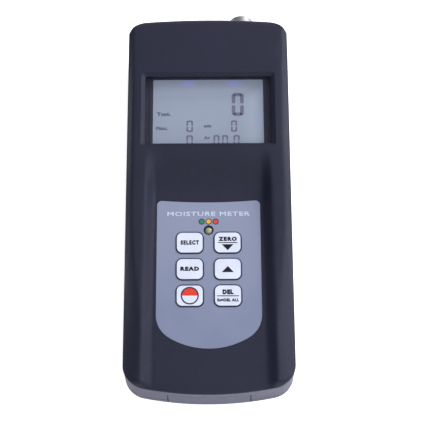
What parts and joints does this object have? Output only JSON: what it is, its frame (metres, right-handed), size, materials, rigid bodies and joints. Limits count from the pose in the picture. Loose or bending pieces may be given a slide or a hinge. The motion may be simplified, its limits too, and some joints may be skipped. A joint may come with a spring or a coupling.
{
  "type": "handheld moisture meter",
  "caption": "Handheld digital moisture meter: wedge-shaped two-part housing, large display, printed key panel with press keys, coaxial probe socket and sliding battery door.",
  "frame": {"origin": "under the middle of the housing, on the flat back", "axes": "X to the right, Y from the battery end to the socket end, Z out of the front"},
  "size_m": [0.069, 0.1705, 0.032],
  "materials": {
    "housing": "fine-textured black moulded plastic",
    "housing_rear": "fine-textured dark grey moulded plastic",
    "window": "clear window lens",
    "overlay": "printed grey-blue film",
    "key": "printed pale key cap",
    "button": "black switch button",
    "lamp": "tinted lamp body",
    "lamp_white": "white lamp block",
    "lcd": "liquid crystal glass",
    "guide": "diffusing light guide",
    "holder": "black moulded holder",
    "strip": "conductive rubber strip",
    "board": "green solder resist on glass fibre",
    "chip": "black moulded chip body",
    "tinned": "tinned wire",
    "screw_steel": "zinc-plated steel",
    "spring": "nickel-plated spring steel",
    "cell": "plain printed sleeve on a steel can",
    "nickel": "nickel-plated brass",
    "gold": "gold-plated contact",
    "core": "white insulator"
  },
  "bodies": {
    "housing": {"front_shell": "housing", "rear_shell": "housing_rear", "display_window": "window", "keypad_overlay": "overlay", "status_led": "lamp", "led_legs": "tinned", "housing_screws": "screw_steel", "board_screws": "screw_steel", "main_board": "board", "lcd_glass": "lcd", "light_guide": "guide", "backlight_leds": "lamp_white", "lcd_frame": "holder", "contact_strips": "strip", "controller_chip": "chip", "signal_chips": "chip", "clock_crystal": "tinned", "buzzer": "chip", "switch_bodies": "chip", "battery_cells": "cell", "battery_springs": "spring", "battery_contacts": "spring", "socket_barrel": "nickel", "socket_core": "core", "socket_contact": "gold", "socket_washer": "nickel", "socket_nut": "nickel", "socket_leads": "tinned"},
    "door": {"battery_door": "housing_rear"},
    "select": {"select_key": "key", "select_switch_button": "button"},
    "read": {"read_key": "key", "read_switch_button": "button"},
    "power": {"power_key": "key", "power_switch_button": "button"},
    "zero": {"zero_key": "key", "zero_switch_button": "button"},
    "up": {"up_key": "key", "up_switch_button": "button"},
    "delete": {"delete_key": "key", "delete_switch_button": "button"}
  },
  "joints": [
    {"name": "select_press", "type": "slide", "parent": "housing", "child": "select", "axis": [0, 0, -1], "range_m": [0, 0.0003], "stiffness_N_per_m": 4000},
    {"name": "read_press", "type": "slide", "parent": "housing", "child": "read", "axis": [0, 0, -1], "range_m": [0, 0.0003], "stiffness_N_per_m": 4000},
    {"name": "power_press", "type": "slide", "parent": "housing", "child": "power", "axis": [0, 0, -1], "range_m": [0, 0.0003], "stiffness_N_per_m": 4000},
    {"name": "zero_press", "type": "slide", "parent": "housing", "child": "zero", "axis": [0, 0, -1], "range_m": [0, 0.0003], "stiffness_N_per_m": 4000},
    {"name": "up_press", "type": "slide", "parent": "housing", "child": "up", "axis": [0, 0, -1], "range_m": [0, 0.0003], "stiffness_N_per_m": 4000},
    {"name": "delete_press", "type": "slide", "parent": "housing", "child": "delete", "axis": [0, 0, -1], "range_m": [0, 0.0003], "stiffness_N_per_m": 4000},
    {"name": "door_slide", "type": "slide", "parent": "housing", "child": "door", "axis": [0, -1, 0], "range_m": [0, 0.06]}
  ]
}
